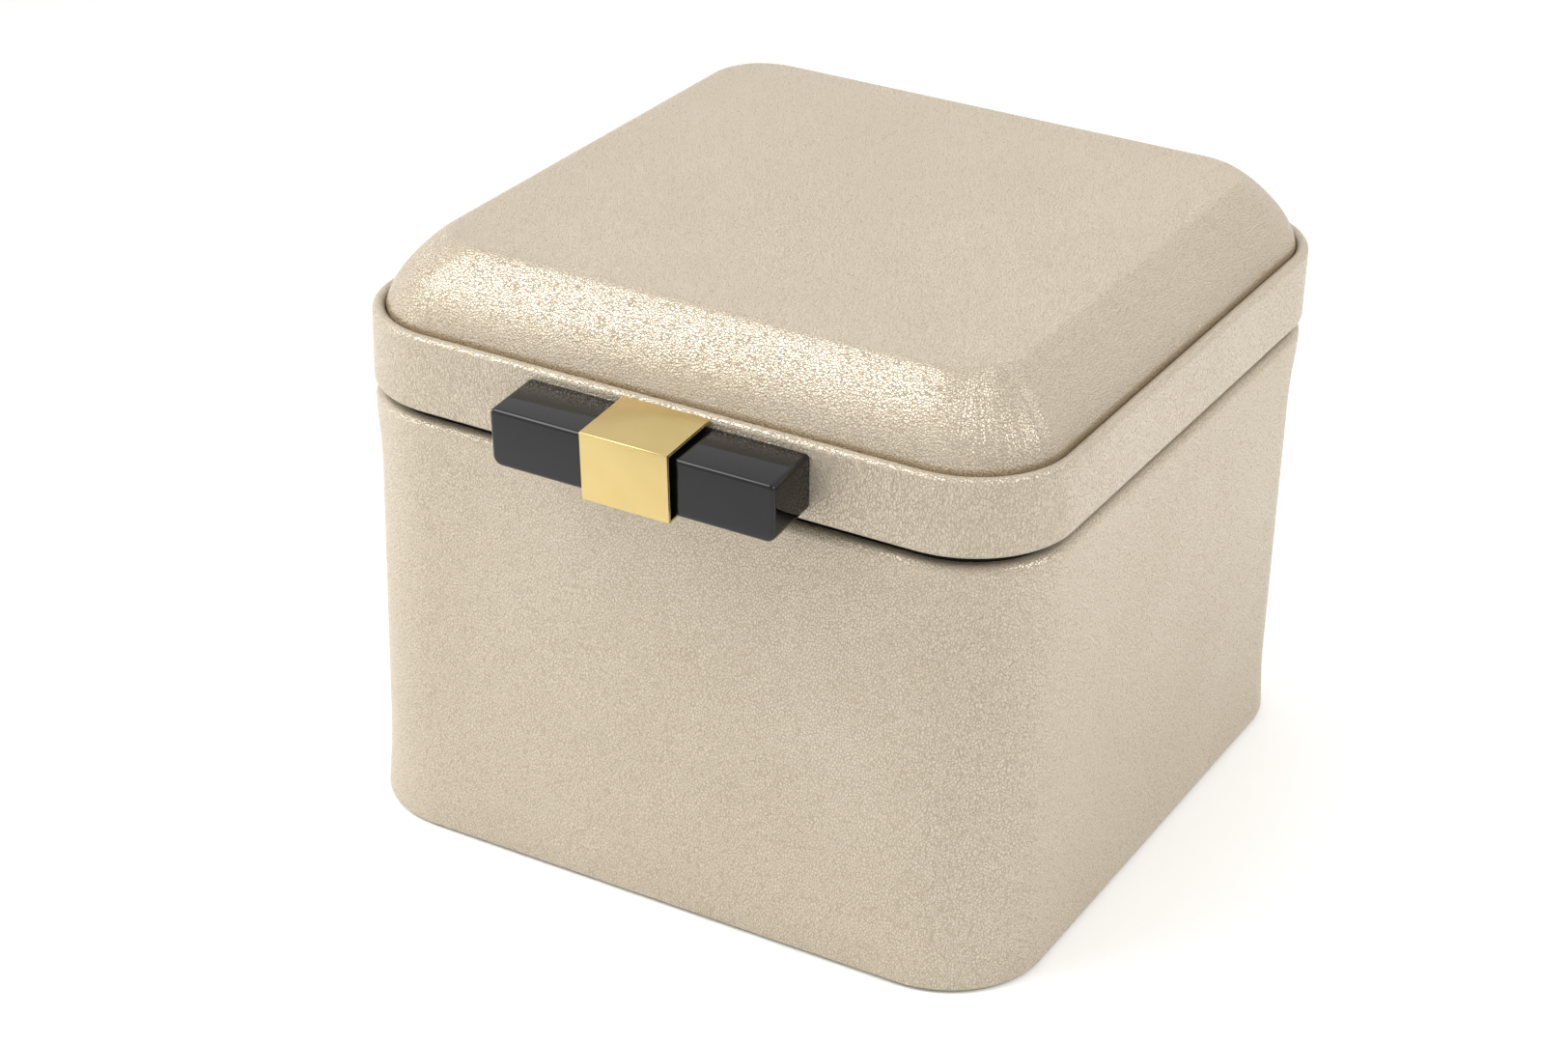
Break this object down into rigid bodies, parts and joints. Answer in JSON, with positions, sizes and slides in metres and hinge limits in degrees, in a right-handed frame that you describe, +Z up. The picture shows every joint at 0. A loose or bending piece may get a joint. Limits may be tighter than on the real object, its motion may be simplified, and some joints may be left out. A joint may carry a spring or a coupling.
{
  "type": "jewellery gift box",
  "caption": "Square leather-covered jewellery box with a padded hinged lid, a brass and resin front pull, a velvet neck, and a lift-out ring tray.",
  "frame": {"origin": "centre of the underside that the box stands on", "axes": "+Z up, -Y the front with the pull, +Y the hinge side, +X to the right of someone facing the front"},
  "size_m": [0.1768, 0.2003, 0.1486],
  "materials": {
    "leather": "pearlised pebble-grain coated leather",
    "board": "bare fibreboard",
    "velvet": "short-pile velvet",
    "felt": "pressed felt",
    "ribbon": "satin ribbon",
    "foam": "open-cell foam",
    "mirror": "silvered glass",
    "resin": "polished",
    "brass": "satin",
    "hinge_brass": "lacquered",
    "screw_steel": "plated"
  },
  "bodies": {
    "base": {"base_felt_pad": "felt", "base_floor_board": "board", "base_front_board": "board", "base_leather_cover": "leather", "base_left_board": "board", "base_rear_board": "board", "base_right_board": "board", "corner_post_front_left": "board", "corner_post_front_right": "board", "corner_post_rear_left": "board", "corner_post_rear_right": "board", "divider_crosswise": "velvet", "divider_lengthwise": "velvet", "floor_pad_front_left": "velvet", "floor_pad_front_right": "velvet", "floor_pad_rear_left": "velvet", "floor_pad_rear_right": "velvet", "hinge_base_leaf_left": "hinge_brass", "hinge_base_leaf_right": "hinge_brass", "hinge_base_screws": "screw_steel", "hinge_pin_left": "hinge_brass", "hinge_pin_right": "hinge_brass", "neck_board": "board", "neck_velvet": "velvet", "shoulder_velvet": "velvet", "tray_ledge_left": "velvet", "tray_ledge_right": "velvet"},
    "lid": {"hinge_lid_leaf_left": "hinge_brass", "hinge_lid_leaf_right": "hinge_brass", "hinge_lid_screws": "screw_steel", "lid_inner_frame": "velvet", "lid_lining_panel": "velvet", "lid_panel": "board", "lid_rim_board": "board", "lid_rim_leather": "leather", "mirror_glass": "mirror", "pad_board": "board", "pad_foam": "foam", "pad_leather": "leather", "pull_band": "brass", "pull_bar": "resin", "pull_packing": "foam", "pull_screws": "screw_steel"},
    "tray": {"ring_bed": "velvet", "ring_roll_1": "velvet", "ring_roll_2": "velvet", "ring_roll_3": "velvet", "ring_roll_4": "velvet", "ring_roll_5": "velvet", "ring_roll_6": "velvet", "tray_divider_left": "velvet", "tray_divider_right": "velvet", "tray_floor": "velvet", "tray_frame": "velvet", "tray_middle_wall": "velvet", "tray_tab_left": "ribbon", "tray_tab_right": "ribbon"}
  },
  "joints": [
    {"name": "lid_hinge", "type": "hinge", "parent": "base", "child": "lid", "pos_m": [0, 0.0906, 0.1101], "axis": [-1, 0, 0], "range_deg": [0, 95]},
    {"name": "tray_lift", "type": "slide", "parent": "base", "child": "tray", "axis": [0, 0, 1], "range_m": [0, 0.012]}
  ]
}
